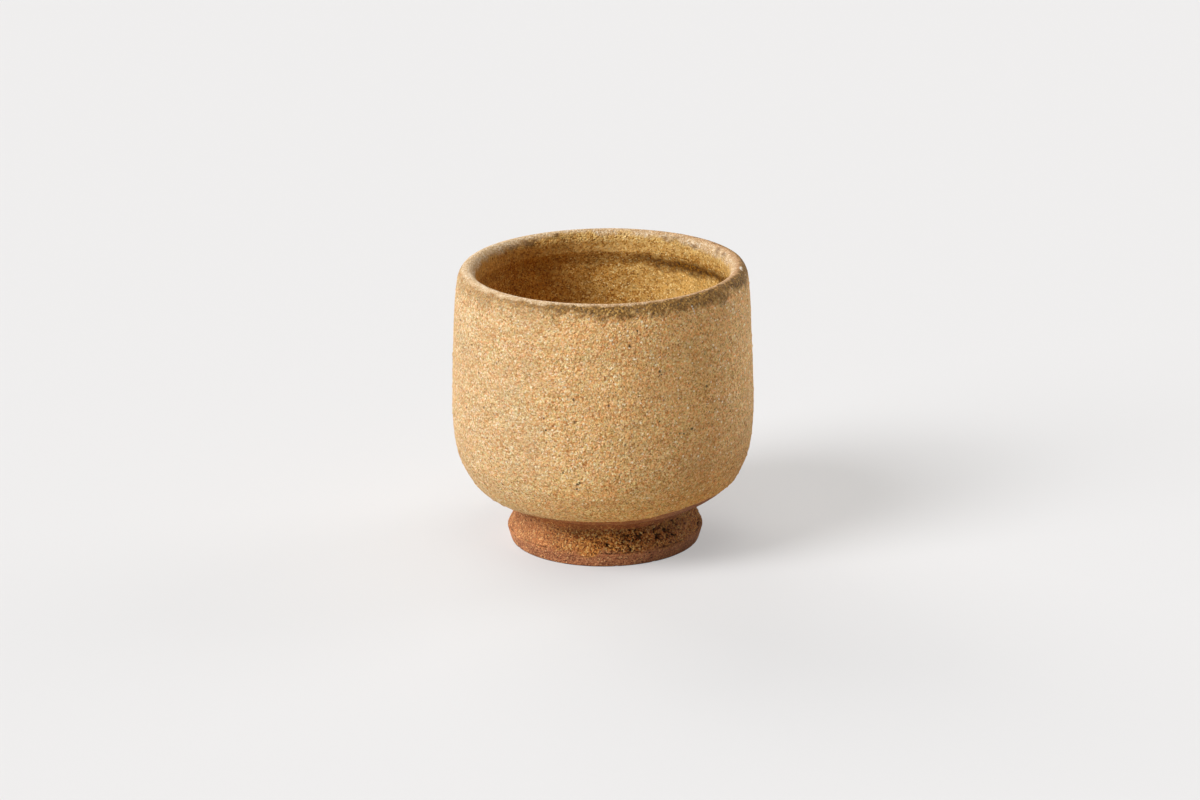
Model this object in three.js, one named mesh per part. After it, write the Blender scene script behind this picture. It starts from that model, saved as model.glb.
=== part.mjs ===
// A thrown stoneware cup on a luted foot ring: the clay bowl, the foot, the slip that joins
// them, and the three coats of glaze. Millimetres, +Z up. The origin is where the cup's axis
// meets the face that the cup stands on.
import * as THREE from "three";

// Overall size, over the glaze
const cupHeight = 75;
const cupRadius = 40;

// Clay bowl
const bellyHeight = 39.9; // height of the widest ring
const wallThickness = 3.9;
const floorThickness = 5.4;
const waistRadius = 23.2; // edge of the bowl's flat seat, and of the top of the foot below it
const undersideRise = 25; // slope of the underside as it leaves the seat, degrees
const wallLean = 4.6; // how far the wall leans in where it meets the lip, degrees

// How far each end of a curved stretch of the bowl holds its direction
const undersideReach = 14.7;
const bellyReachDown = 19.6;
const bellyReachUp = 8;
const shoulderReach = 7.8;
const innerBellyReach = 22;
const innerShoulderReach = 12;
const floorReach = 24;

// Lip, with the roll of clay inside it that ends in a throwing groove
const lipRadius = 35.8; // radius of the crown
const lipThickness = 3.8;
const lipOuterDrop = 4.2; // height of the round outside the crown
const lipInnerDrop = 2.3; // height of the round inside the crown
const rollHeight = 4.9; // from the inner round down to the groove
const grooveDepth = 1;

// Foot ring
const footHeight = 10;
const footWidestHeight = 3.3;
const footFlare = 2.8; // how far the widest line stands out past the waist
const footBevel = 0.8; // how far the foot draws in again from there to the table
const footShoulderLean = 21; // how far the shoulder leans in as it leaves the widest line, degrees
const footShoulderReach = 1.8;
const footWaistReach = 2.5;
const footEdgeRound = 0.5;
const lutedWidth = 5.3; // width of the ring's top, where it is luted to the bowl
const footDraft = 1; // how much the recess narrows from the table up to the bowl

// Slip that lutes the foot to the bowl, squeezed out a little all round
const slipThickness = 0.6;
const slipBead = 0.35;

// Glaze coats
const glazeThickness = 0.5;
const glazeFeather = 1.6; // length over which the outside coat thins to its lower edge
const glazeEdge = 0.15; // thickness left at that edge
const bareStrip = 8.8; // bare clay between the foot and the glaze, along the surface

// Clearance between pieces that touch
const fitGap = 0.05;

// Facets round the axis, and steps along each curve of the sections
const facets = 48;
const undersideSteps = 9;
const wallSteps = 5;
const lipSteps = 4;
const rollSteps = 3;
const innerWallSteps = 3;
const floorSteps = 7;
const shoulderSteps = 6;
const edgeSteps = 3;
const beadSteps = 6;

// Colours of the fired materials
const bareClay = new THREE.MeshStandardMaterial({ color: 0x9a6540, roughness: 0.9, metalness: 0 });
const footClay = new THREE.MeshStandardMaterial({ color: 0x8a5534, roughness: 0.95, metalness: 0 });
const driedSlip = new THREE.MeshStandardMaterial({ color: 0x7d4c2f, roughness: 0.9, metalness: 0 });
const ashGlaze = new THREE.MeshStandardMaterial({ color: 0xc99f68, roughness: 0.75, metalness: 0 });
const poolGlaze = new THREE.MeshStandardMaterial({ color: 0xb98c50, roughness: 0.5, metalness: 0 });
const ironGlaze = new THREE.MeshStandardMaterial({ color: 0x94754a, roughness: 0.65, metalness: 0 });

const at = (radius, height) => new THREE.Vector2(radius, height);

// A point that lies a distance from another, at an angle above the horizontal
function along(point, degrees, distance) {
  const angle = THREE.MathUtils.degToRad(degrees);
  return at(point.x + distance * Math.cos(angle), point.y + distance * Math.sin(angle));
}

// The points of curves that run on from each other, each curve with its own number of steps
function trace(spans) {
  return spans.flatMap(([curve, count], i) => curve.getPoints(count).slice(i ? 1 : 0));
}

// Part of an ellipse about a centre, between two angles in degrees
function arc(centre, across, up, from, to) {
  const start = THREE.MathUtils.degToRad(from);
  const end = THREE.MathUtils.degToRad(to);
  return new THREE.EllipseCurve(centre.x, centre.y, across, up, start, end, to < from);
}

// Heights and radii that follow from the sizes above
const coat = fitGap + glazeThickness;
const bellyRadius = cupRadius - coat;
const crownHeight = cupHeight - coat;
const seatHeight = footHeight + slipThickness;
const floorHeight = seatHeight + floorThickness;
const recessTopRadius = waistRadius - lutedWidth;

// The clay's outline, from the edge of the seat up the outside, over the lip and down the inside
const seatEdge = at(waistRadius, seatHeight);
const belly = at(bellyRadius, bellyHeight);
const lipOuter = at(lipRadius + lipThickness / 2, crownHeight - lipOuterDrop);
const lipInner = at(lipRadius - lipThickness / 2, crownHeight - lipInnerDrop);
const groove = at(lipInner.x + grooveDepth, lipInner.y - rollHeight);
const innerBelly = at(bellyRadius - wallThickness, bellyHeight);
const floorMiddle = at(0, floorHeight);

const underside = new THREE.CubicBezierCurve(
  seatEdge,
  along(seatEdge, undersideRise, undersideReach),
  along(belly, -90, bellyReachDown),
  belly,
);
const wall = new THREE.CubicBezierCurve(
  belly,
  along(belly, 90, bellyReachUp),
  along(lipOuter, wallLean - 90, shoulderReach),
  lipOuter,
);
const outerRound = arc(at(lipRadius, lipOuter.y), lipThickness / 2, lipOuterDrop, 0, 90);
const innerRound = arc(at(lipRadius, lipInner.y), lipThickness / 2, lipInnerDrop, 90, 180);
const roll = new THREE.CubicBezierCurve(
  lipInner,
  along(lipInner, -90, rollHeight / 2),
  along(groove, 180 - wallLean, grooveDepth),
  groove,
);
const innerWall = new THREE.CubicBezierCurve(
  groove,
  along(groove, -90, innerShoulderReach),
  along(innerBelly, 90, bellyReachUp),
  innerBelly,
);
const floor = new THREE.CubicBezierCurve(
  innerBelly,
  along(innerBelly, -90, innerBellyReach),
  along(floorMiddle, 0, floorReach),
  floorMiddle,
);

const outside = trace([
  [underside, undersideSteps],
  [wall, wallSteps],
]);
const lip = trace([
  [outerRound, lipSteps],
  [innerRound, lipSteps],
]);
const inside = trace([
  [roll, rollSteps],
  [innerWall, innerWallSteps],
  [floor, floorSteps],
]);
const outline = [...outside, ...lip.slice(1), ...inside.slice(1)];

// Distance along the outline to each of its points
const lengths = outline.map(() => 0);
outline.forEach((point, i) => {
  lengths[i] = i ? lengths[i - 1] + point.distanceTo(outline[i - 1]) : 0;
});
const lipStart = lengths[outside.length - 1];
const lipEnd = lengths[outside.length + lip.length - 2];
const outlineEnd = lengths[outline.length - 1];

// Direction out of the clay at each point of the outline
const normals = outline.map((_, i) => {
  const before = outline[Math.max(i - 1, 0)];
  const after = outline[Math.min(i + 1, outline.length - 1)];
  const run = after.clone().sub(before).normalize();
  return at(run.y, -run.x);
});
normals[outline.length - 1].set(0, 1);

// The outline's points and normals between two distances along it, with both ends exact
function stretch(from, to) {
  const place = (length) => {
    const i = Math.max(1, lengths.findIndex((value) => value >= length));
    const share = (length - lengths[i - 1]) / (lengths[i] - lengths[i - 1]);
    return {
      length,
      point: outline[i - 1].clone().lerp(outline[i], share),
      normal: normals[i - 1].clone().lerp(normals[i], share).normalize(),
    };
  };
  const between = lengths.filter((value) => value > from + fitGap && value < to - fitGap);
  return [from, ...between, to].map(place);
}

// A coat of glaze on a stretch of the outline, as the closed section of a ring or a bowl
function coatSection(from, to, thicknessAt) {
  const places = stretch(from, to);
  const lift = (place, height) => place.point.clone().addScaledVector(place.normal, height);
  const under = places.map((place) => lift(place, fitGap));
  const over = places.map((place) => lift(place, fitGap + thicknessAt(place.length)));
  const section = [...under.reverse(), ...over];
  return to < outlineEnd ? [...section, section[0].clone()] : section;
}

// A solid of revolution about +Z from a section whose points run counter-clockwise
function turned(name, section, material) {
  const geometry = new THREE.LatheGeometry(section, facets);
  geometry.rotateX(Math.PI / 2);
  const mesh = new THREE.Mesh(geometry, material);
  mesh.name = name;
  return mesh;
}

// Bowl: the outline, closed by its flat underside
function clayBowl() {
  return turned("clay_bowl", [at(0, seatHeight), ...outline], bareClay);
}

// Foot: a ring with a bevel below its widest line and a hollow shoulder up to the waist
function footRing() {
  const widest = at(waistRadius + footFlare, footWidestHeight);
  const waist = at(waistRadius, footHeight);
  const edgeCentre = at(widest.x - footBevel - footEdgeRound, footEdgeRound);
  const edge = arc(edgeCentre, footEdgeRound, footEdgeRound, -90, 0);
  const recess = at(recessTopRadius + footDraft, 0);
  const shoulder = new THREE.CubicBezierCurve(
    widest,
    along(widest, 90 + footShoulderLean, footShoulderReach),
    along(waist, -90, footWaistReach),
    waist,
  );
  const section = [
    recess,
    ...edge.getPoints(edgeSteps),
    ...shoulder.getPoints(shoulderSteps),
    at(recessTopRadius, footHeight),
    recess.clone(),
  ];
  return turned("foot_ring", section, footClay);
}

// Slip: a thin ring between the foot and the seat, with a round bead at its outer edge
function footSlip() {
  const low = footHeight + fitGap;
  const high = seatHeight - fitGap;
  const bead = arc(at(waistRadius, (low + high) / 2), slipBead, (high - low) / 2, -90, 90);
  const section = [
    at(recessTopRadius, low),
    ...bead.getPoints(beadSteps),
    at(recessTopRadius, high),
    at(recessTopRadius, low),
  ];
  return turned("foot_slip", section, driedSlip);
}

// Outside coat: from the bare strip up to the lip, thinning out at its lower edge
function outsideGlaze() {
  const thicknessAt = (length) => {
    const share = Math.min(1, (length - bareStrip) / glazeFeather);
    return THREE.MathUtils.lerp(glazeEdge, glazeThickness, share);
  };
  return turned("outside_glaze", coatSection(bareStrip, lipStart - fitGap, thicknessAt), ashGlaze);
}

// Lip coat: over the round of the lip, from the outside coat to the inside one
function lipGlaze() {
  return turned("lip_glaze", coatSection(lipStart, lipEnd, () => glazeThickness), ironGlaze);
}

// Inside coat: from the lip down to the middle of the floor
function insideGlaze() {
  const section = coatSection(lipEnd + fitGap, outlineEnd, () => glazeThickness);
  return turned("inside_glaze", section, poolGlaze);
}

const cup = new THREE.Group();
cup.add(clayBowl(), footSlip(), footRing(), outsideGlaze(), lipGlaze(), insideGlaze());

export default cup;
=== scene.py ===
import bisect
import math

import bmesh
import bpy
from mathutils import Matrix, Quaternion, Vector, noise
from mathutils.geometry import interpolate_bezier


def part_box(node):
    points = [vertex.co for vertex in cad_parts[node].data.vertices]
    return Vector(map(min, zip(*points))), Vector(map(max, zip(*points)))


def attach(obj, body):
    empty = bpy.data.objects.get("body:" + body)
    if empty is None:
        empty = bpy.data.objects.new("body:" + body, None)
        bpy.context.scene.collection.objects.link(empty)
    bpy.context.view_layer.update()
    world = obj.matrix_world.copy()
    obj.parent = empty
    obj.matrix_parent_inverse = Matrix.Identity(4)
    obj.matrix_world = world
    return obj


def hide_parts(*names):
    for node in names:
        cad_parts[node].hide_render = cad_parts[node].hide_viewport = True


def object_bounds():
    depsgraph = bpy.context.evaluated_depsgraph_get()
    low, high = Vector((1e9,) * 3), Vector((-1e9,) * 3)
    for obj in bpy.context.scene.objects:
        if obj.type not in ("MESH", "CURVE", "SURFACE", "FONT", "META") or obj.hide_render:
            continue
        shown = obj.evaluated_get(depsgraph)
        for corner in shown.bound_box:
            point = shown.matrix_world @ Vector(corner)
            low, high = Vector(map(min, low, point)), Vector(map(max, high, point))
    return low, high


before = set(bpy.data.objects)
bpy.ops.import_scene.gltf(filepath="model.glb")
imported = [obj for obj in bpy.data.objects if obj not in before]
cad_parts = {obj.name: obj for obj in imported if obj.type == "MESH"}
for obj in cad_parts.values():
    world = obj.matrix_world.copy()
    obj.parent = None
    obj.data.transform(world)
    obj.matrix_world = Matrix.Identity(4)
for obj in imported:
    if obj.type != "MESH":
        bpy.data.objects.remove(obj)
cad_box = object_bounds()

# The bowl
# One lump of red-brown stoneware thrown on a wheel, with floor, wall and rolled lip in one sweep.
# Bare clay shows only on its base and on the strip between the foot and the glaze.
mm = 0.001
bowl_low, bowl_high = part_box("clay_bowl")
belly_height = 39.9 * mm
wall_thickness = 3.9 * mm
floor_thickness = 5.4 * mm
waist_radius = 23.2 * mm
lip_radius = 35.8 * mm
lip_thickness = 3.8 * mm
lip_outer_drop = 4.2 * mm
lip_inner_drop = 2.3 * mm
roll_height = 4.9 * mm
groove_depth = 1.0 * mm
underside_rise = 25  # slope of the underside as it leaves the seat, degrees
wall_lean = 4.6  # how far the wall leans in where it meets the lip, degrees

# How far each end of a curved stretch of the bowl holds its direction
underside_reach = 14.7 * mm
belly_reach_down = 19.6 * mm
belly_reach_up = 8 * mm
shoulder_reach = 7.8 * mm
inner_shoulder_reach = 12 * mm
inner_belly_reach = 22 * mm
floor_reach = 24 * mm


def spot(radius, height):
    """A point of the cup's section, which lies in the XZ plane."""
    return Vector((radius, 0, height))


def beyond(point, degrees, distance):
    """The point at a distance from another, at an angle above the horizontal."""
    angle = math.radians(degrees)
    return point + spot(math.cos(angle), math.sin(angle)) * distance


def span(start, leaving, start_reach, end, arriving, end_reach):
    """The four points that steer a curve: its ends, each with the angle and reach of its handle."""
    return start, beyond(start, leaving, start_reach), beyond(end, arriving, end_reach), end


seat_edge = spot(waist_radius, bowl_low.z)
belly = spot(bowl_high.x, belly_height)
lip_outer = spot(lip_radius + lip_thickness / 2, bowl_high.z - lip_outer_drop)
crown = spot(lip_radius, bowl_high.z)
lip_inner = spot(lip_radius - lip_thickness / 2, bowl_high.z - lip_inner_drop)
groove = spot(lip_inner.x + groove_depth, lip_inner.z - roll_height)
inner_belly = spot(belly.x - wall_thickness, belly_height)
floor_middle = spot(0, bowl_low.z + floor_thickness)
round_share = 0.5523  # the handle that makes a Bezier span a quarter of an ellipse
half_lip = lip_thickness / 2 * round_share

# Each span of the clay's outline, from the seat up the outside, over the lip and down the inside
clay_spans = [
    span(seat_edge, underside_rise, underside_reach, belly, -90, belly_reach_down),
    span(belly, 90, belly_reach_up, lip_outer, wall_lean - 90, shoulder_reach),
    span(lip_outer, 90, lip_outer_drop * round_share, crown, 0, half_lip),
    span(crown, 180, half_lip, lip_inner, 90, lip_inner_drop * round_share),
    span(lip_inner, -90, roll_height / 2, groove, 180 - wall_lean, groove_depth),
    span(groove, -90, inner_shoulder_reach, inner_belly, 90, belly_reach_up),
    span(inner_belly, -90, inner_belly_reach, floor_middle, 0, floor_reach),
]
span_points = 80
outline = [seat_edge]
span_ends = []
for curve in clay_spans:
    outline += interpolate_bezier(*curve, span_points)[1:]
    span_ends.append(len(outline) - 1)
travel = [0.0]
for before, after in zip(outline, outline[1:]):
    travel.append(travel[-1] + (after - before).length)
_, lip_start, crown_at, lip_end, groove_at, _, outline_end = (travel[i] for i in span_ends)


def clay_normal(along):
    """The direction out of the clay, in the section, at a distance along its outline."""
    if along >= travel[-1]:
        return spot(0, 1)
    i = min(max(bisect.bisect_left(travel, along), 2), len(travel) - 2)
    run = outline[i + 1] - outline[i - 2]
    return spot(run.z, -run.x).normalized()


def on_clay(along, lift=0.0):
    """The point of the section at a distance along the clay's outline, lifted off it by a coat."""
    i = min(max(bisect.bisect_left(travel, along), 1), len(travel) - 1)
    share = (along - travel[i - 1]) / (travel[i] - travel[i - 1])
    return outline[i - 1].lerp(outline[i], share) + clay_normal(along) * lift


def evenly(start, end, spacing):
    """Distances from start to end in equal steps of about a spacing."""
    count = max(1, round(abs(end - start) / spacing))
    return [start + (end - start) * i / count for i in range(count + 1)]


def turned(point, place):
    """A point or direction of the section, turned about the axis to face the way a place lies."""
    angle = math.atan2(place.y, place.x)
    return Vector((point.x * math.cos(angle), point.x * math.sin(angle), point.z))


def spun(section, closed, facets=140, cuts=3):
    """A mesh of revolution from a section, spun coarsely and then cut finer.

    The section lists points, each with its distance along the clay's outline and its lift off it.
    """
    same_place = 0.001 * mm
    sharp_bend = math.radians(50)
    bm = bmesh.new()
    along_layer = bm.verts.layers.float.new("along")
    lift_layer = bm.verts.layers.float.new("lift")
    bm.verts.layers.float.new("relief")
    verts = []
    for point, along, lift in section:
        vert = bm.verts.new(point)
        vert[along_layer] = along
        vert[lift_layer] = lift
        verts.append(vert)
    pairs = list(zip(verts, verts[1:]))
    if closed:
        pairs.append((verts[-1], verts[0]))
    edges = [bm.edges.new(pair) for pair in pairs]
    bmesh.ops.spin(
        bm,
        geom=verts + edges,
        cent=(0, 0, 0),
        axis=(0, 0, 1),
        angle=math.tau,
        steps=facets,
        use_merge=True,
    )
    bmesh.ops.remove_doubles(bm, verts=bm.verts, dist=same_place)
    bmesh.ops.recalc_face_normals(bm, faces=bm.faces)
    bmesh.ops.subdivide_edges(bm, edges=bm.edges, cuts=cuts, use_grid_fill=True)
    for edge in bm.edges:
        edge.smooth = edge.calc_face_angle(0) < sharp_bend
    return bm


def coat_section(pairs):
    """A section whose points are given as distances along the clay's outline and lifts off it."""
    return [(on_clay(along, lift), along, lift) for along, lift in pairs]


rim_dip = 0.45 * mm  # how much lower the rim is at its left
sway = 0.16 * mm  # how far the wall strays from a true circle
sway_length = 26 * mm
foot_shift = 0.3 * mm  # how far the foot, and then the rim, stand to the right of the wall
rim_shift = 0.2 * mm
# How much lower the bowl's underside is towards its right; towards its left it is a third of that higher
underside_tilt = 0.62 * mm
size_margin = 0.01 * mm  # kept free inside the overall size
overall_radius = cad_box[1].x - size_margin
overall_height = cad_box[1].z - size_margin


def eased(value, start, end):
    """A smooth step from 0 at a start to 1 at an end."""
    share = min(1, max(0, (value - start) / (end - start)))
    return share * share * (3 - 2 * share)


def by_hand(place):
    """Where a point of the true-turned cup lies on the one thrown by hand, within its overall size."""
    rise = eased(place.z, 0, bowl_high.z)
    across = Vector((place.x, place.y, 0))
    wander = noise.noise(place / sway_length) * sway * rise
    moved = place + across.normalized() * (wander - sway / 2 * rise)
    in_foot = eased(place.z, 12 * mm, 4 * mm)
    near_rim = eased(place.z, 58 * mm, 72 * mm)
    moved.x += foot_shift * in_foot + rim_shift * near_rim
    moved.z -= rim_dip * rise * (1 - across.x / belly.x) / 2
    on_underside = eased(place.z, 8 * mm, 14 * mm) * eased(place.z, 23 * mm, 15 * mm)
    moved.z -= underside_tilt * on_underside * max(across.x, across.x / 3) / belly.x
    excess = max(1, moved.xy.length / overall_radius)
    return Vector((moved.x / excess, moved.y / excess, min(moved.z, overall_height)))


def finish_piece(name, bm, relief, material, coat=False):
    """Makes the piece's object: relief goes on along the normals, then the sway of the hand."""
    relief_layer = bm.verts.layers.float["relief"]
    along_layer = bm.verts.layers.float["along"]
    bm.normal_update()
    places = []
    for vert in bm.verts:
        along = vert[along_layer]
        depth = relief(vert.co / mm, along)
        outward = turned(clay_normal(along), vert.co) if coat else vert.normal
        vert[relief_layer] = depth
        places.append(by_hand(vert.co + outward * depth * mm))
    for vert, place in zip(bm.verts, places):
        vert.co = place
    for face in bm.faces:
        face.smooth = True
    mesh = bpy.data.meshes.new(name)
    bm.to_mesh(mesh)
    bm.free()
    mesh.materials.append(material)
    piece = bpy.data.objects.new(name, mesh)
    bpy.context.scene.collection.objects.link(piece)
    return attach(piece, "root")


def linear(code):
    """The linear colour of an sRGB hex code."""
    shares = [int(code[i : i + 2], 16) / 255 for i in (1, 3, 5)]
    return [s / 12.92 if s <= 0.04045 else ((s + 0.055) / 1.055) ** 2.4 for s in shares] + [1]


def add(tree, kind, inputs, stops=(), **settings):
    """Adds a node and gives its outputs; its inputs are values or other nodes' outputs."""
    node = tree.nodes.new("ShaderNode" + kind)
    for name, value in settings.items():
        setattr(node, name, value)
    for key, value in inputs.items():
        if isinstance(value, bpy.types.NodeSocket):
            tree.links.new(value, node.inputs[key])
        else:
            node.inputs[key].default_value = value
    for i, (position, code) in enumerate(stops):
        element = node.color_ramp.elements[i] if i < 2 else node.color_ramp.elements.new(position)
        element.position = position
        element.color = linear(code)
    return node.outputs


def blend(tree, share, under, over, kind="MIX"):
    """A share of one colour laid over another; the upper one may be given as a hex code."""
    first, second, mixed = 6, 7, 2  # the numbers of the node's colour inputs and of its colour output
    colours = {0: share, first: under, second: linear(over) if isinstance(over, str) else over}
    return add(tree, "Mix", colours, data_type="RGBA", blend_type=kind)[mixed]


def tinted(tree, share, under, tint):
    """A colour multiplied by a tint, to a share, so that its grain still shows."""
    return blend(tree, share, under, tint, "MULTIPLY")


def graded(tree, value, start, end, low=0, high=1):
    """A number that passes from low to high while a value passes from start to end."""
    return add(tree, "MapRange", {0: value, 1: start, 2: end, 3: low, 4: high})["Result"]


def reckoned(tree, one, operation, other):
    """A number worked out from two others."""
    return add(tree, "Math", {0: one, 1: other}, operation=operation)["Value"]


def new_material(name):
    """An empty material, its node tree and the piece's own coordinates in metres."""
    material = bpy.data.materials.new(name)
    material.use_nodes = True
    tree = material.node_tree
    tree.nodes.clear()
    return material, tree, add(tree, "TexCoord", {})["Object"]


def ruffled(tree, place, size, reach):
    """The place shifted by a noise of a size, so that grains and spots lose their smooth outlines."""
    cloud = add(tree, "TexNoise", {"Vector": place, "Scale": 1 / size, "Detail": 1})["Color"]
    centred = add(tree, "VectorMath", {0: cloud, 1: (0.5, 0.5, 0.5)}, operation="SUBTRACT")["Vector"]
    shift = add(tree, "VectorMath", {0: centred, "Scale": reach}, operation="SCALE")["Vector"]
    return add(tree, "VectorMath", {0: place, 1: shift}, operation="ADD")["Vector"]


def grains(tree, place, size, stops):
    """Grains of a size, each of one colour picked from the stops."""
    cells = add(tree, "TexVoronoi", {"Vector": place, "Scale": 1 / size})
    pick = add(tree, "SeparateColor", {"Color": cells["Color"]})
    return add(tree, "ValToRGB", {"Fac": pick["Red"]}, stops)["Color"]


def flecks(tree, place, spacing, share, size):
    """A mask of scattered spots: a share of the cells of a spacing hold one, up to a size across."""
    cells = add(tree, "TexVoronoi", {"Vector": place, "Scale": 1 / spacing})
    pick = add(tree, "SeparateColor", {"Color": cells["Color"]})
    reach = size / 2 / spacing
    radius = graded(tree, pick["Blue"], 1 - share, 1, 0, reach)
    inside = graded(tree, cells["Distance"], radius, 0, 0, 2.5)
    return reckoned(tree, inside, "MINIMUM", 1)


def patches(tree, place, size, low, high, start, end, detail=3):
    """Cloudy patches of a size: a noise that passes from one value to another between two levels."""
    cloud = add(tree, "TexNoise", {"Vector": place, "Scale": 1 / size, "Detail": detail})["Fac"]
    return graded(tree, cloud, low, high, start, end)


def surface(tree, colour, roughness, shine, height, depth):
    """Ends a material in a dielectric shader, with a fine bump of a depth in metres."""
    bump = add(tree, "Bump", {"Strength": 1, "Distance": depth, "Height": height})["Normal"]
    look = {"Base Color": colour, "Roughness": roughness, "Specular IOR Level": shine, "Normal": bump}
    shader = add(tree, "BsdfPrincipled", look)
    add(tree, "OutputMaterial", {"Surface": shader["BSDF"]})


# Iron-bearing stoneware, trimmed and fired without glaze: dull, red-brown, with fine pale grog
bare_stoneware, tree, place = new_material("bare_stoneware")
clay_stops = [(0, "#7E4A26"), (0.35, "#9C6034"), (0.7, "#AC6E3E"), (0.92, "#C2884C"), (1, "#D8A464")]
colour = grains(tree, place, 0.36 * mm, clay_stops)
shade = patches(tree, place, 4 * mm, 0.3, 0.7, 0.82, 1.15)
colour = tinted(tree, 1, colour, shade)

# Redder towards the right, and darker where the clay faces front and back: painted shade on the bare
# underside
across = add(tree, "SeparateXYZ", {0: place})["X"]
redder = graded(tree, across, 6 * mm, 22 * mm, 0, 0.55)
colour = blend(tree, redder, colour, "#6E463A")
front = graded(tree, across, -20 * mm, 20 * mm)
underside_shade_stops = [(0, "#FFFFFF"), (0.35, "#F0E3DC"), (0.65, "#F0E3DC"), (1, "#FFFFFF")]
underside_shade = add(tree, "ValToRGB", {"Fac": front}, underside_shade_stops)["Color"]
colour = tinted(tree, 1, colour, underside_shade)
grit = add(tree, "TexNoise", {"Vector": place, "Scale": 1 / (0.45 * mm), "Detail": 2})["Fac"]
surface(tree, colour, 0.85, 0.2, grit, 0.12 * mm)

glaze_line_high = 15.6 * mm  # how far up bare clay may show below the glaze, along the outline


def clay_relief(place, along):
    """Trimming lines and fine grain on the bare clay, in millimetres; the covered clay stays smooth."""
    if along > glaze_line_high:
        return 0
    slanting = place.z * 1.4 + place.xy.length * 1.1
    turning = noise.noise(Vector((place.x * 0.03, place.y * 0.03, slanting)))
    return 0.05 * turning + 0.03 * noise.noise(place / 0.6)


# Where each stretch of the bowl's section starts and ends along the clay, and how finely it is cut
bowl_stretches = [
    (0, glaze_line_high, 1.2 * mm),
    (glaze_line_high, lip_start, 6 * mm),
    (lip_start, groove_at, 0.8 * mm),
    (groove_at, outline_end, 4 * mm),
]
base_rings = evenly(0, waist_radius, 2 * mm)[:-1]
bowl_section = [(spot(radius, bowl_low.z), 0, 0) for radius in base_rings]
bowl_section += coat_section([(0, 0)])
for start, end, spacing in bowl_stretches:
    bowl_section += coat_section((along, 0) for along in evenly(start, end, spacing)[1:])
bowl = finish_piece("clay_bowl_visual", spun(bowl_section, closed=False), clay_relief, bare_stoneware)
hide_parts("clay_bowl")

# The slip seam
# Liquid clay that lutes the foot to the bowl, squeezed out all round the waist.
# A finger wiped it into a smooth hollow that runs from the bowl on to the foot.
slip_low, slip_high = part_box("foot_slip")
slip_sunk = 0.25 * mm  # how deep its wiped edges sit in the clay above and below
wiped_down = 0.6 * mm  # how far it was wiped down over the foot
wiped_along = 1.0 * mm  # how far it was wiped up over the bowl
wiped_reach = 0.6 * mm  # how far each end of the hollow holds its direction
low_film = 0.04 * mm  # how far it stands out at its lower edge, and then at its upper one
high_film = 0.06 * mm
luted_width = 5.3 * mm  # width of the seam, from the recess under the bowl to the waist
wiped_low = spot(waist_radius + low_film, slip_low.z - wiped_down)
wiped_high = on_clay(wiped_along, high_film)
recess_top_radius = waist_radius - luted_width


def slip_relief(place, along):
    """Finger marks and a fine grain on the wiped slip, in millimetres."""
    return 0.08 * noise.noise(place / 3) + 0.04 * noise.noise(place / 0.7)


hollow = span(wiped_low, 90, wiped_reach, wiped_high, underside_rise + 180, wiped_reach)
wiped_hollow = interpolate_bezier(*hollow, 9)
slip_points = [
    spot(recess_top_radius, slip_low.z),
    spot(waist_radius - slip_sunk, slip_low.z),
    wiped_low - spot(2 * slip_sunk, 0),
    *wiped_hollow,
    on_clay(wiped_along, -slip_sunk),
    spot(waist_radius - slip_sunk, slip_high.z),
    spot(recess_top_radius, slip_high.z),
]
slip_bm = spun([(point, 0, 0) for point in slip_points], closed=True)
slip = finish_piece("foot_slip_visual", slip_bm, slip_relief, bare_stoneware)
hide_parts("foot_slip")

# The foot ring
# A separate ring of coarse, groggy stoneware, pressed on under the bowl and turned to a flare.
# The tool tore the grog out of its shoulder; the bevel below the widest line is smoothed.
foot_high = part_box("foot_ring")[1]
foot_widest_height = 3.3 * mm
bevel_depth = 0.8 * mm  # how far the foot draws in from its widest line to the table
shoulder_lean = 21  # how far the shoulder leans in as it leaves the widest line, degrees
shoulder_reach_low = 1.8 * mm  # how far each end of the shoulder holds its direction
shoulder_reach_high = 2.5 * mm
recess_draft = 1 * mm  # how much the recess narrows from the table up to the bowl
foot_edge = 0.5 * mm  # round of the lower edge
foot_widest = spot(foot_high.x, foot_widest_height)
foot_waist = spot(waist_radius, foot_high.z)
foot_base_radius = foot_widest.x - bevel_depth
recess_radius = recess_top_radius + recess_draft

# The same clay with coarse grog, torn open: dark in its hollows by painted shade, gold where a grain
# stands out
coarse_stoneware, tree, place = new_material("coarse_stoneware")
smooth_stops = [(0, "#74402A"), (0.3, "#AE6C46"), (0.65, "#C48056"), (0.92, "#DA9A66"), (1, "#F6C688")]
torn_stops = [(0, "#3C1C0A"), (0.2, "#9A5822"), (0.55, "#D68842"), (0.85, "#F2B05A"), (1, "#FFDE94")]
loose = ruffled(tree, place, 0.35 * mm, 0.2 * mm)
smooth = grains(tree, loose, 0.32 * mm, smooth_stops)
torn = grains(tree, loose, 0.36 * mm, torn_stops)

# Smooth on the bevel and torn above it, lighter at the left as painted light from the lamps on that side,
# and ashy at the right
axes = add(tree, "SeparateXYZ", {0: place})
height = axes["Z"]
across = axes["X"]
edge = patches(tree, place, 3 * mm, 0.3, 0.7, -1 * mm, 1 * mm)
level = reckoned(tree, height, "ADD", edge)
above = graded(tree, level, 3 * mm, 4.4 * mm)
ripped = graded(tree, across, -20 * mm, -2 * mm, 0.25, 1)
ripped = reckoned(tree, above, "MULTIPLY", ripped)
colour = blend(tree, ripped, smooth, torn)
painted_light_left = graded(tree, across, -6 * mm, -24 * mm, 0, 0.2)
colour = blend(tree, painted_light_left, colour, "#BC8862")
ashy = graded(tree, across, 6 * mm, 20 * mm, 0, 0.4)
colour = blend(tree, ashy, colour, "#AA7A5C")
shade = patches(tree, place, 5 * mm, 0.3, 0.7, 0.82, 1.18)
colour = tinted(tree, 1, colour, shade)

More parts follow.
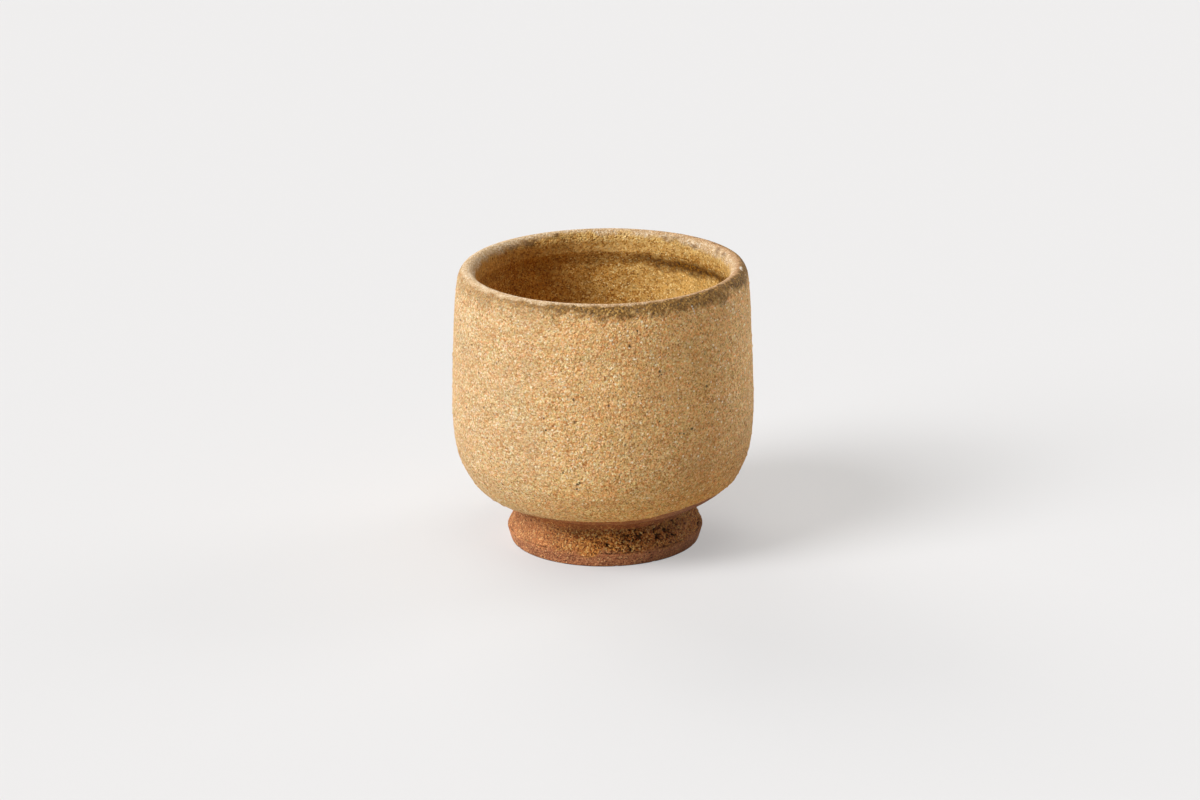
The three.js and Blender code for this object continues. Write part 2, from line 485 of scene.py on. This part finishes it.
# Dark holes all over, gold grains on the shoulder, and more of both at the far left
specks = flecks(tree, loose, 0.8 * mm, 0.5, 0.62 * mm)
holes = graded(tree, specks, 0, 1, 0, 0.8)
colour = blend(tree, holes, colour, "#241006")
grog = flecks(tree, loose, 1.2 * mm, 0.42, 0.78 * mm)
standing = reckoned(tree, grog, "MULTIPLY", above)
left = graded(tree, across, 20 * mm, -2 * mm, 0.35, 0.95)
standing = reckoned(tree, standing, "MULTIPLY", left)
colour = blend(tree, standing, colour, "#F2B468")
leftmost = graded(tree, across, -6 * mm, -20 * mm, 0, 0.8)
pits = flecks(tree, loose, 0.6 * mm, 0.4, 0.52 * mm)
pits = reckoned(tree, pits, "MULTIPLY", leftmost)
colour = blend(tree, pits, colour, "#5A3018")
gold = flecks(tree, loose, 0.95 * mm, 0.45, 0.75 * mm)
gold = reckoned(tree, gold, "MULTIPLY", leftmost)
colour = blend(tree, gold, colour, "#FFD08A")

# Pale where the surface stands out, and dark where it sinks in, which is painted shade in the hollows
relief = add(tree, "Attribute", {}, attribute_name="relief")["Fac"]
raised = graded(tree, relief, 0.04, 0.3, 0, 0.6)
colour = blend(tree, raised, colour, "#D09A70")
hollow = graded(tree, relief, -0.15, -0.5, 0, 0.9)
colour = blend(tree, hollow, colour, "#1E0F06")

# Painted shade in the crease under the bowl, and a painted contact shadow round the edge it stands on
crease_shade = graded(tree, level, 6.8 * mm, 9 * mm)
side = graded(tree, across, -19 * mm, -4 * mm, 0.05, 0.5)
crease_shade = reckoned(tree, crease_shade, "MULTIPLY", side)
crease_shade_fade = graded(tree, across, 8 * mm, 20 * mm, 1, 0.15)
crease_shade = reckoned(tree, crease_shade, "MULTIPLY", crease_shade_fade)
colour = blend(tree, crease_shade, colour, "#4A2C12")
contact_shadow = graded(tree, height, 0.4 * mm, 0.1 * mm, 0, 0.8)
colour = blend(tree, contact_shadow, colour, "#281408")
cells = add(tree, "TexVoronoi", {"Vector": loose, "Scale": 1 / (0.5 * mm)})["Distance"]
grit = add(tree, "TexNoise", {"Vector": place, "Scale": 1 / (0.4 * mm), "Detail": 2})["Fac"]
rough = reckoned(tree, grit, "SUBTRACT", cells)
surface(tree, colour, 0.85, 0.2, rough, 0.3 * mm)

# The line that the tool cut where the torn shoulder meets the bevel, in millimetres
cut_height = 3.85
cut_width = 0.22
cut_depth = 0.36


def foot_relief(place, along):
    """Torn hollows and standing grains on the shoulder, in millimetres; the bevel is nearly smooth."""
    outer = eased(place.xy.length, 22, 23.2)
    angle = math.atan2(place.y, place.x)
    rightward = eased(math.cos(angle + 0.5), -0.3, 0.8)
    torn = eased(place.z, 3.6, 4.6) * eased(place.z, 10, 9.2) * outer * (0.35 + 0.9 * rightward)
    slanted = Vector((angle * 24 + place.z * 0.9, place.z * 0.5, place.xy.length * 0.6))
    crevice = max(0, 1 - abs(noise.noise(slanted / 0.95)) * 4)
    patch = eased(noise.noise(place / 4), -0.2, 0.3)
    hole = max(0, noise.noise(place / 1.1 + Vector((3, 8, 1))) - 0.2)
    grain = noise.noise(place / 0.45)
    lump = noise.noise(place / 0.9)
    cut = eased(noise.noise(Vector((angle * 5, 2, 0))), -0.35, 0.2)
    line = -cut_depth * math.exp(-(((place.z - cut_height) / cut_width) ** 2)) * outer * cut
    chip = max(0, noise.noise(Vector((angle * 12, 4, place.z))) - 0.25)
    chip = chip * eased(place.z, 1.1, 0.2) * outer
    rough = 0.26 * grain + 0.3 * lump - 0.4 * crevice * patch - 0.8 * hole * patch
    low = min(1, place.z / 0.6)
    return torn * rough - 0.5 * chip + low * (0.04 * grain + line)


foot_outer = [
    spot(foot_base_radius - foot_edge, 0),
    spot(foot_base_radius - foot_edge * 0.35, foot_edge * 0.15),
    spot(foot_base_radius, foot_edge),
]
foot_bevel = [foot_outer[-1].lerp(foot_widest, share) for share in (0.25, 0.5, 0.75)]
shoulder = span(
    foot_widest, 90 + shoulder_lean, shoulder_reach_low, foot_waist, -90, shoulder_reach_high
)
foot_shoulder = interpolate_bezier(*shoulder, 11)
foot_top = spot(recess_top_radius, foot_high.z)
foot_inner = spot(recess_radius, 0)
foot_inside = [foot_top.lerp(foot_inner, share) for share in (0, 0.25, 0.5, 0.75, 1)]
foot_under = [foot_inner.lerp(foot_outer[0], share) for share in (0.33, 0.67)]
foot_points = foot_outer + foot_bevel + foot_shoulder + foot_inside + foot_under
foot_bm = spun([(point, 0, 0) for point in foot_points], closed=True)
foot = finish_piece("foot_ring_visual", foot_bm, foot_relief, coarse_stoneware)
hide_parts("foot_ring")

# The outside glaze
# A thin ash glaze over the wall, dry and sandy, with the clay's iron burnt through it as dark specks.
# It was dipped by hand, so its lower edge wanders, and it is more olive where it gathers below.
glaze_lift = 0.55 * mm  # height of the coat's face above the clay
glaze_under = 0.03 * mm  # height of its back
glaze_edge = 0.12 * mm  # height of its face at its lower edge
glaze_feather = 1.2 * mm  # length over which it thins to that edge
bare_strip = 8.8 * mm  # bare clay between the foot and the glaze, along the outline
edge_zone = 14 * mm  # how far above the edge its wandering still pulls the coat along


def spots(tree, place, centres, inner=False):
    """A mask of spots on the wall, or on its inner side.

    Each has its angle round the cup in degrees, then its height and width in millimetres.
    """
    mask = 0
    rising = [(length, point.z) for length, point in zip(travel, outline)]
    falling = [(length, level) for length, level in rising if length > crown_at]
    for degrees, height, width in centres:
        if inner:
            along = next(length for length, level in falling if level <= height * mm)
        else:
            along = next(length for length, level in rising if level >= height * mm)
        on_wall = Quaternion((0, 0, 1), math.radians(degrees)) @ on_clay(along, glaze_lift)
        centre = by_hand(on_wall)
        away = add(tree, "VectorMath", {0: place, 1: centre}, operation="DISTANCE")["Value"]
        inside = graded(tree, away, width / 2 * mm, width / 5 * mm)
        mask = reckoned(tree, mask, "MAXIMUM", inside)
    return mask


def honey(tree, place, along):
    """The colour of thick glaze: honey-brown, clotted with cream, dark in the groove from iron and
    painted shade; also painted shade at the left and painted light at the right.
    """
    across = add(tree, "SeparateXYZ", {0: place})["X"]
    loose = ruffled(tree, place, 0.4 * mm, 0.25 * mm)
    honey_stops = [(0, "#7C4C16"), (0.3, "#B27E32"), (0.6, "#C8984A"), (0.87, "#DEB668"), (1, "#F8E4A8")]
    colour = grains(tree, loose, 0.36 * mm, honey_stops)
    clots = patches(tree, place, 1.2 * mm, 0.5, 0.66, 0, 0.5, 2)
    colour = blend(tree, clots, colour, "#E8C880")

    # Pale clots on the roll inside the lip, and painted light on the wall below the groove at the right,
    # the side the lamps fall on
    lowest = graded(tree, across, 4 * mm, 22 * mm, 1.4 * mm, 3.0 * mm)
    above = reckoned(tree, groove_at, "SUBTRACT", along)
    above = reckoned(tree, above, "SUBTRACT", lowest)
    paler = graded(tree, across, 8 * mm, 24 * mm, 0.46, 0.35)
    on_roll = graded(tree, above, 0, 1.4 * mm, 0, paler)
    roll_stops = [(0, "#90601E"), (0.25, "#D8A656"), (0.55, "#F0C678"), (0.85, "#FCD88C"), (1, "#FFE6A8")]
    clotted = grains(tree, loose, 0.55 * mm, roll_stops)
    colour = blend(tree, on_roll, colour, clotted)
    lighter = graded(tree, across, 6 * mm, 24 * mm, 0, 0.3)
    light_below_groove = graded(tree, along, groove_at, groove_at + 2 * mm, 0, lighter)
    colour = blend(tree, light_below_groove, colour, "#F2C876")

    # Flecks of rust and cloudy shade, and browner at the left as painted shade on the inner side turned
    # from the light
    rusty = flecks(tree, loose, 0.9 * mm, 0.4, 0.6 * mm)
    rusty = reckoned(tree, rusty, "MULTIPLY", 0.8)
    colour = blend(tree, rusty, colour, "#96581C")
    shade = patches(tree, place, 6 * mm, 0.3, 0.7, 0.86, 1.1)
    colour = tinted(tree, 1, colour, shade)
    shade_left = graded(tree, across, 4 * mm, -24 * mm, 0, 0.6)
    colour = tinted(tree, shade_left, colour, "#E6C88C")

    # Iron that gathered in the groove, with painted shade under the roll, darkest at the right
    wander = patches(tree, place, 3 * mm, 0.3, 0.7, -0.7 * mm, 0.7 * mm)
    ragged = reckoned(tree, along, "ADD", wander)
    into = graded(tree, ragged, groove_at - 2.2 * mm, groove_at - 0.4 * mm)
    past = graded(tree, ragged, groove_at + 1.8 * mm, groove_at + 0.4 * mm)
    side = graded(tree, across, -4 * mm, 20 * mm, 0.18, 0.95)
    within = reckoned(tree, into, "MULTIPLY", past)
    groove_iron_and_shade = reckoned(tree, within, "MULTIPLY", side)
    iron = grains(tree, loose, 0.4 * mm, [(0, "#341A00"), (0.6, "#5A3400"), (1, "#94640E")])
    return blend(tree, groove_iron_and_shade, colour, iron)


# A dry ash glaze on gritty clay: sand-coloured grains, no shine, olive where thick, pale where thin
ash_glaze, tree, place = new_material("ash_glaze")
along = add(tree, "Attribute", {}, attribute_name="along")["Fac"]
across = add(tree, "SeparateXYZ", {0: place})["X"]
loose = ruffled(tree, place, 0.4 * mm, 0.3 * mm)
sand_stops = [(0, "#AA7F46"), (0.15, "#D1A86C"), (0.45, "#E6C68D"), (0.75, "#F2D7A6"), (1, "#FFF3D0")]
fine_stops = [(0, "#865A2A"), (0.3, "#D0A468"), (0.6, "#EACB92"), (0.85, "#FCECC2"), (1, "#FFFFF6")]
hue_stops = [(0, "#FFD8BE"), (0.3, "#FFF0E2"), (0.6, "#FFFBF0"), (0.85, "#F6FAE8"), (1, "#FFE6DE")]
sand = grains(tree, loose, 0.58 * mm, sand_stops)
fine = grains(tree, place, 0.36 * mm, fine_stops)
colour = blend(tree, 0.55, sand, fine)
hue = grains(tree, loose, 0.5 * mm, hue_stops)
colour = tinted(tree, 1, colour, hue)
warm = patches(tree, place, 7 * mm, 0.42, 0.68, 0, 0.22)
colour = blend(tree, warm, colour, "#DCA46C")
smoky = patches(tree, place, 13 * mm, 0.55, 0.75, 0, 0.3, 4)
colour = blend(tree, smoky, colour, "#AE9768")

# Grey breaths of kiln smoke in front: angle round the cup in degrees, height and width in mm
smoke = [(-123, 55, 20), (-124, 46, 22), (-123, 38, 22), (-120, 30, 18), (-52, 30, 16), (-118, 70, 14)]
clouds = patches(tree, place, 4 * mm, 0.35, 0.65, 0, 0.28)
breaths = reckoned(tree, spots(tree, place, smoke), "MULTIPLY", clouds)
colour = blend(tree, breaths, colour, "#B8A480")

# Faint level streaks from the throwing
drawn_out = add(tree, "Mapping", {"Vector": place, "Scale": (0.1, 0.1, 1)})["Vector"]
streak = patches(tree, drawn_out, 1.6 * mm, 0.3, 0.7, 0.92, 1.08)
colour = tinted(tree, 1, colour, streak)

# Painted light and shade across the cup: darker and cooler on the lit left, warmer and browner towards
# the shaded right, where grains of rust and cream show more
lit_to_shaded = graded(tree, across, -32 * mm, 40 * mm)
light_tint_stops = [(0, "#F4F4F9"), (0.4, "#FFF6EA"), (0.8, "#FFEDD0"), (1, "#FFF8EC")]
light_tint = add(tree, "ValToRGB", {"Fac": lit_to_shaded}, light_tint_stops)["Color"]
colour = tinted(tree, 1, colour, light_tint)
rusty = flecks(tree, loose, 0.85 * mm, 0.5, 0.65 * mm)
strength = graded(tree, lit_to_shaded, 0, 1, 0.42, 0.95)
rusty = reckoned(tree, rusty, "MULTIPLY", strength)
colour = blend(tree, rusty, colour, "#9A6632")
cream = flecks(tree, loose, 1.05 * mm, 0.5, 0.8 * mm)
strength = graded(tree, lit_to_shaded, 0, 1, 0.55, 1)
cream = reckoned(tree, cream, "MULTIPLY", strength)
colour = blend(tree, cream, colour, "#FFF0CE")
iron = flecks(tree, loose, 2.2 * mm, 0.3, 0.8 * mm)
colour = blend(tree, iron, colour, "#54401E")

# The largest specks of iron in front: angle round the cup in degrees, height and width in mm
iron_specks = [(-80, 64.2, 1.1), (-68.4, 56.7, 1.0), (-67.6, 56, 0.85), (-101, 50.7, 1.1)]
iron_specks += [(-88, 48.7, 1.0), (-112.4, 45, 0.85), (-100.5, 44.6, 1.2), (-55.4, 40.4, 1.2)]
iron_specks += [(-82, 38.2, 1.1), (-47.8, 50.5, 0.9), (-73, 50, 0.85), (-67, 49.2, 0.8)]
iron_specks += [(-100, 27.8, 1.1), (-99, 28, 1.0), (-67.4, 40.9, 0.8), (-64.5, 40.4, 0.9)]
iron_specks += [(-60.8, 39.8, 0.85)]
crumbled = ruffled(tree, place, 0.5 * mm, 0.6 * mm)
specks = spots(tree, crumbled, iron_specks)
specks = reckoned(tree, specks, "MULTIPLY", 0.9)
colour = blend(tree, specks, colour, "#3E2A12")

# Olive towards the lower edge, where the dip gathered
pooled = graded(tree, along, bare_strip, bare_strip + 20 * mm, 0.75, 0)
lighter = graded(tree, across, 0, -24 * mm, 1, 0.5)
pooled = reckoned(tree, pooled, "MULTIPLY", lighter)
colour = tinted(tree, pooled, colour, "#E8D690")

# Painted shade: browner low on the right, on the side away from the light; and a painted highlight: paler
# high at the right edge, where light catches it
shade_low_right = graded(tree, along, bare_strip + 30 * mm, bare_strip + 12 * mm)
rightward = graded(tree, across, 10 * mm, 32 * mm, 0, 0.5)
shade_low_right = reckoned(tree, shade_low_right, "MULTIPLY", rightward)
colour = tinted(tree, shade_low_right, colour, "#DCC8A6")
rim_light = graded(tree, along, bare_strip + 20 * mm, bare_strip + 34 * mm)
rightmost = graded(tree, across, 30 * mm, 39.5 * mm)
rim_light = reckoned(tree, rim_light, "MULTIPLY", rightmost)
rim_light_gain = graded(tree, rim_light, 0, 1, 1, 1.22)
colour = tinted(tree, 1, colour, rim_light_gain)

# Iron band round the lip, ragged below and fading towards the left
wander = patches(tree, place, 5 * mm, 0.3, 0.7, -1.6 * mm, 1.6 * mm, 5)
fray = patches(tree, place, 1.1 * mm, 0.3, 0.7, -0.8 * mm, 0.8 * mm)
ragged = reckoned(tree, along, "ADD", wander)
ragged = reckoned(tree, ragged, "ADD", fray)
into = graded(tree, ragged, lip_start + 0.4 * mm, lip_start + 2.6 * mm)
side = graded(tree, across, -36 * mm, -8 * mm, 0.4, 0.92)
band = reckoned(tree, into, "MULTIPLY", side)
rust_stops = [(0, "#4A320E"), (0.4, "#74501C"), (0.8, "#966C30"), (1, "#C0944C")]
rust = grains(tree, loose, 0.42 * mm, rust_stops)
colour = blend(tree, band, colour, rust)

# Thin over the crown, pale where the clay shows through: the pale reaches wider at the left as a painted
# highlight, and is browner at the right as painted shade
edge = patches(tree, place, 2.2 * mm, 0.3, 0.7, -0.4 * mm, 0.4 * mm)
risen = reckoned(tree, along, "ADD", edge)
inset = graded(tree, across, -32 * mm, -6 * mm, -0.3 * mm, 0)
risen = reckoned(tree, risen, "SUBTRACT", inset)
inset = graded(tree, across, 10 * mm, 30 * mm, 0, 0.6 * mm)
risen = reckoned(tree, risen, "SUBTRACT", inset)
thin = graded(tree, risen, crown_at - 0.9 * mm, crown_at - 0.4 * mm)
pale_stops = [(0, "#BC966A"), (0.4, "#CEAE84"), (0.8, "#DABE98"), (1, "#EEDCC0")]
pale = grains(tree, loose, 0.42 * mm, pale_stops)
crown_shade_tan = graded(tree, across, -16 * mm, 34 * mm, 0, 0.8)
outer = graded(tree, along, crown_at + 1.4 * mm, crown_at + 0.4 * mm)
crown_shade_tan = reckoned(tree, crown_shade_tan, "MULTIPLY", outer)
pale = tinted(tree, crown_shade_tan, pale, "#D4B898")
colour = blend(tree, thin, colour, pale)

# Old nicks, a scratch and a chip, as spots in a row: angle in degrees, height and width in mm
scratch = [(-53.6, 72.3, 0.6), (-53.3, 71.7, 0.55), (-52.9, 71.1, 0.5), (-52.6, 70.4, 0.45)]
chip = [(-6, 74.4, 1.1), (-7.5, 74.4, 1.2), (-9, 74.3, 1.0), (-9, 73.2, 0.5), (-10.5, 72.4, 0.4)]
nicks = spots(tree, place, scratch + chip)
colour = blend(tree, nicks, colour, "#F4EADA")

# Thick again down the lip's inner side, with a broken dark line where it begins
curl = patches(tree, place, 4 * mm, 0.3, 0.7, -0.8 * mm, 0.8 * mm)
inward = reckoned(tree, along, "ADD", curl)
near_line = graded(tree, inward, crown_at + 0.9 * mm, crown_at + 1.6 * mm)
past_line = graded(tree, inward, crown_at + 3.0 * mm, crown_at + 2.1 * mm)
on_line = reckoned(tree, near_line, "MULTIPLY", past_line)
held = graded(tree, across, 8 * mm, 28 * mm, 0, 1.5 * mm)
inward = reckoned(tree, inward, "SUBTRACT", held)
held = graded(tree, across, -18 * mm, -33 * mm, 0, 1.4 * mm)
inward = reckoned(tree, inward, "SUBTRACT", held)
thick = graded(tree, inward, crown_at + 0.7 * mm, crown_at + 2.0 * mm)
pool = honey(tree, place, along)
colour = blend(tree, thick, colour, pool)

# The stretches where that line burnt dark: angle in degrees, height and width in mm
streaks = [(82, 73.2, 3), (57, 73.2, 9), (46, 73.2, 10), (23, 73.2, 9), (112, 73, 10), (124, 73, 12)]
streaks += [(136, 73, 10), (-160, 73, 14), (-120, 73, 16), (-70, 73, 16), (-30, 73, 12)]
broken = patches(tree, place, 2.4 * mm, 0.42, 0.62, 0, 0.7, 5)
burnt = reckoned(tree, on_line, "MULTIPLY", broken)
burnt = reckoned(tree, burnt, "MULTIPLY", spots(tree, place, streaks, inner=True))
colour = blend(tree, burnt, colour, "#5A380F")
cells = add(tree, "TexVoronoi", {"Vector": loose, "Scale": 1 / (0.55 * mm)})["Distance"]
grit = add(tree, "TexNoise", {"Vector": place, "Scale": 1 / (0.7 * mm), "Detail": 3})["Fac"]
height = reckoned(tree, grit, "SUBTRACT", cells)
surface(tree, colour, 0.7, 0.3, height, 0.28 * mm)


def edge_shift(angle):
    """How far the glaze line lies above its mean, along the clay, at an angle round the cup."""
    around = Vector((math.cos(angle), math.sin(angle), 0.3))
    rightward = math.cos(angle)
    slant = 0.6 * rightward + 3.7 * eased(rightward, 0.15, 0.8) - 2.2 * eased(-rightward, 0, 1) + 0.5
    return (slant + 0.5 * noise.noise(around * 2.6) + 0.35 * noise.noise(around * 9)) * mm


def hump(value, centre, width):
    """A smooth hump of height 1 about a centre."""
    return math.exp(-(((value - centre) / width) ** 2))


def glaze_relief(place, along):
    """Throwing rings, shallow dents, sandy grain and lumps of grog under the glaze, in millimetres."""
    rings = noise.noise(Vector((place.x * 0.02, place.y * 0.02, place.z / 1.7)))
    dents = noise.noise(place / 13)
    grain = noise.noise(place / 0.55)
    middling = noise.noise(place / 1.4)
    near, centres = noise.voronoi(place / 1.8)
    lump = max(0, 1 - near[0] / 0.32) * (noise.cell(centres[0]) > 0)
    rough = 1 - 0.8 * eased(along, lip_start, lip_start + 3 * mm)
    ridges = 0.2 * hump(place.z, 66, 6)
    ridges += 0.25 * hump(place.z, 15.8, 2.2)
    ridges -= 0.2 * hump(place.z, 20.8, 2.4)
    lines = noise.noise(Vector((place.x * 0.03, place.y * 0.03, place.z / 0.7)))
    swell = 0.05 * rings + 0.03 * lines + 0.08 * dents + ridges - 0.05 - 0.1 * hump(place.z, 40, 13)
    return max(-0.45, swell + rough * (0.07 * grain + 0.09 * middling + 0.28 * lump - 0.06))


def glaze_coat(start, end, spacing, feathered):
    """The section of a coat between two distances along the clay: its face, and a plain back."""
    face = []
    for along in evenly(start, end, spacing):
        share = min(1, (along - start) / glaze_feather) if feathered else 1
        face.append((along, glaze_edge + (glaze_lift - glaze_edge) * math.sqrt(share)))
    back = [(along, glaze_under) for along in evenly(end, start, (end - start) / 5)]
    return coat_section(face + back)


outside = spun(glaze_coat(bare_strip, lip_start, 1.8 * mm, feathered=True), closed=True)
along_layer = outside.verts.layers.float["along"]
lift_layer = outside.verts.layers.float["lift"]
for vert in outside.verts:
    pull = max(0, 1 - (vert[along_layer] - bare_strip) / edge_zone)
    shifted = vert[along_layer] + edge_shift(math.atan2(vert.co.y, vert.co.x)) * pull
    vert.co = turned(on_clay(shifted, vert[lift_layer]), vert.co)
outside_glaze = finish_piece("outside_glaze_visual", outside, glaze_relief, ash_glaze, coat=True)
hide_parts("outside_glaze")

# The lip glaze
# The same dip where it ran thin over the rolled lip: pale on the crown, where clay shows through,
# and dark olive-brown just outside it, where the iron gathered.
lip_bm = spun(glaze_coat(lip_start, lip_end, 0.45 * mm, feathered=False), closed=True)
lip_glaze = finish_piece("lip_glaze_visual", lip_bm, glaze_relief, ash_glaze, coat=True)
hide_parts("lip_glaze")

# The inside glaze
# A thicker pour of the same ash glaze inside, honey-brown and clotted with cream.
# It gathers dark in the throwing groove under the lip, darkened further there by painted shade.

# Ash glaze poured thick: honey-brown with cream crystals, a little smoother than the outside
honey_glaze, tree, place = new_material("honey_glaze")
along = add(tree, "Attribute", {}, attribute_name="along")["Fac"]
pool = honey(tree, place, along)
grit = add(tree, "TexNoise", {"Vector": place, "Scale": 1 / (0.5 * mm), "Detail": 1})["Fac"]
surface(tree, pool, 0.6, 0.35, grit, 0.18 * mm)


def inside_relief(place, along):
    """Throwing rings and a soft grain, in millimetres; near the lip they pass into the lip's own."""
    rings = noise.noise(Vector((place.x * 0.02, place.y * 0.02, place.z / 1.9 + 7)))
    grain = noise.noise(place / 0.7)
    lumpy = noise.noise(place / 1.9)
    own = 0.06 * rings + 0.05 * grain + 0.07 * lumpy - 0.06
    share = min(1, max(0, (along - lip_end) / (2 * mm)))
    return glaze_relief(place, along) * (1 - share) + own * share


inside_face = [(along, glaze_lift) for along in evenly(lip_end, groove_at + 2 * mm, 0.7 * mm)]
inside_face += [(along, glaze_lift) for along in evenly(groove_at + 2 * mm, outline_end, 3 * mm)[1:]]
inside_back = [(along, glaze_under) for along in evenly(outline_end, lip_end, 14 * mm)]
inside_section = coat_section(inside_back + inside_face)

# The pour rounds off the groove, so the section is averaged there
rounding_passes = 6
rounding_share = 0.6
rounded_reach = 2.2 * mm
for _ in range(rounding_passes):
    for i in range(len(inside_back) + 1, len(inside_section) - 1):
        point, along, lift = inside_section[i]
        if abs(along - groove_at) < rounded_reach:
            middle = (inside_section[i - 1][0] + inside_section[i + 1][0]) / 2
            inside_section[i] = (point.lerp(middle, rounding_share), along, lift)
inside_bm = spun(inside_section, closed=False)
inside_glaze = finish_piece("inside_glaze_visual", inside_bm, inside_relief, honey_glaze, coat=True)
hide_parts("inside_glaze")

# The table and the light
# A plain pale sheet that the cup stands on, lit by broad soft light from the left.
# Weaker light comes from behind, from the right and from above.
table_colour = "#EDECEB"
table_size = 12
table_gap = 0.02 * mm  # how far the sheet lies below the foot
table_glow = 0.45  # share of the sheet's look that is plain backdrop, which lightens the shadow
bpy.ops.mesh.primitive_plane_add(size=table_size, location=(0, 0, -table_gap))
table = bpy.context.object
table.name = "table"

# Matt paper without grain: an even pale ground that shows only a soft shadow
paper, tree, _ = new_material("pale_paper")
sheet = {"Base Color": linear("#DFDFE1"), "Roughness": 1, "Specular IOR Level": 0}
sheet = add(tree, "BsdfPrincipled", sheet)["BSDF"]
backdrop = add(tree, "Emission", {"Color": linear(table_colour), "Strength": 1})["Emission"]


def seen_directly(tree):
    """A mask of the rays that show a surface itself: seen, mirrored or through glass."""
    ray = add(tree, "LightPath", {})
    shown = reckoned(tree, ray["Is Camera Ray"], "MAXIMUM", ray["Is Glossy Ray"])
    return reckoned(tree, shown, "MAXIMUM", ray["Is Transmission Ray"])


share = reckoned(tree, seen_directly(tree), "MULTIPLY", table_glow)
lit = add(tree, "MixShader", {0: share, 1: sheet, 2: backdrop})["Shader"]
add(tree, "OutputMaterial", {"Surface": lit})
table.data.materials.append(paper)

# Each lamp's direction to the left of the viewer, elevation and spread in degrees, and its strength
lamps = {
    "key": (60, 28, 26, 1.18),
    "key_high": (59, 45, 28, 2.05),
    "behind_left": (140, 28, 28, 0.75),
    "behind": (164, 31, 32, 0.75),
    "right": (243, 28, 28, 0.58),
    "right_high": (240, 75, 30, 0.28),
    "above": (0, 75, 30, 0.39),
}
white = (1.0, 1.0, 1.0)
warm = (1.02, 0.99, 0.945)
sky_strength = 0.02
for name, (left, elevation, spread, strength) in lamps.items():
    lamp = bpy.data.lights.new(name, "SUN")
    lamp.energy = strength
    lamp.color = white if name.startswith("key") else warm
    lamp.angle = math.radians(spread)
    holder = bpy.data.objects.new(name, lamp)
    bpy.context.scene.collection.objects.link(holder)
    aside, up = math.radians(left), math.radians(elevation)
    towards = Vector((-math.sin(aside) * math.cos(up), -math.cos(aside) * math.cos(up), math.sin(up)))
    holder.rotation_mode = "QUATERNION"
    holder.rotation_quaternion = towards.to_track_quat("Z", "Y")

world = bpy.data.worlds.new("studio")
world.use_nodes = True
bpy.context.scene.world = world
tree = world.node_tree
tree.nodes.clear()
glow = add(tree, "Background", {"Color": (*warm, 1), "Strength": sky_strength})["Background"]
backdrop = add(tree, "Background", {"Color": linear(table_colour), "Strength": 1})["Background"]
sky = add(tree, "MixShader", {0: seen_directly(tree), 1: glow, 2: backdrop})["Shader"]
add(tree, "OutputWorld", {"Surface": sky})

# The camera
# A long lens just under a metre away, looking down on the cup a little.
# It is turned slightly on its own axis.
camera_elevation = 18.16  # degrees, and so is the roll
camera_distance = 951.5 * mm
camera_roll = -0.47
camera_target = Vector((-0.8 * mm, 0, 37.6 * mm))
camera = bpy.data.cameras.new("camera")
camera.lens = 108
camera.sensor_width = 36
camera_object = bpy.data.objects.new("camera", camera)
bpy.context.scene.collection.objects.link(camera_object)
height_angle = math.radians(camera_elevation)
back = Vector((0, -math.cos(height_angle), math.sin(height_angle)))
camera_object.location = camera_target + back * camera_distance
camera_object.rotation_mode = "QUATERNION"
roll = Quaternion((0, 0, 1), math.radians(camera_roll))
camera_object.rotation_quaternion = (-back).to_track_quat("-Z", "Y") @ roll
bpy.context.scene.camera = camera_object
bpy.context.scene.view_settings.view_transform = "Standard"
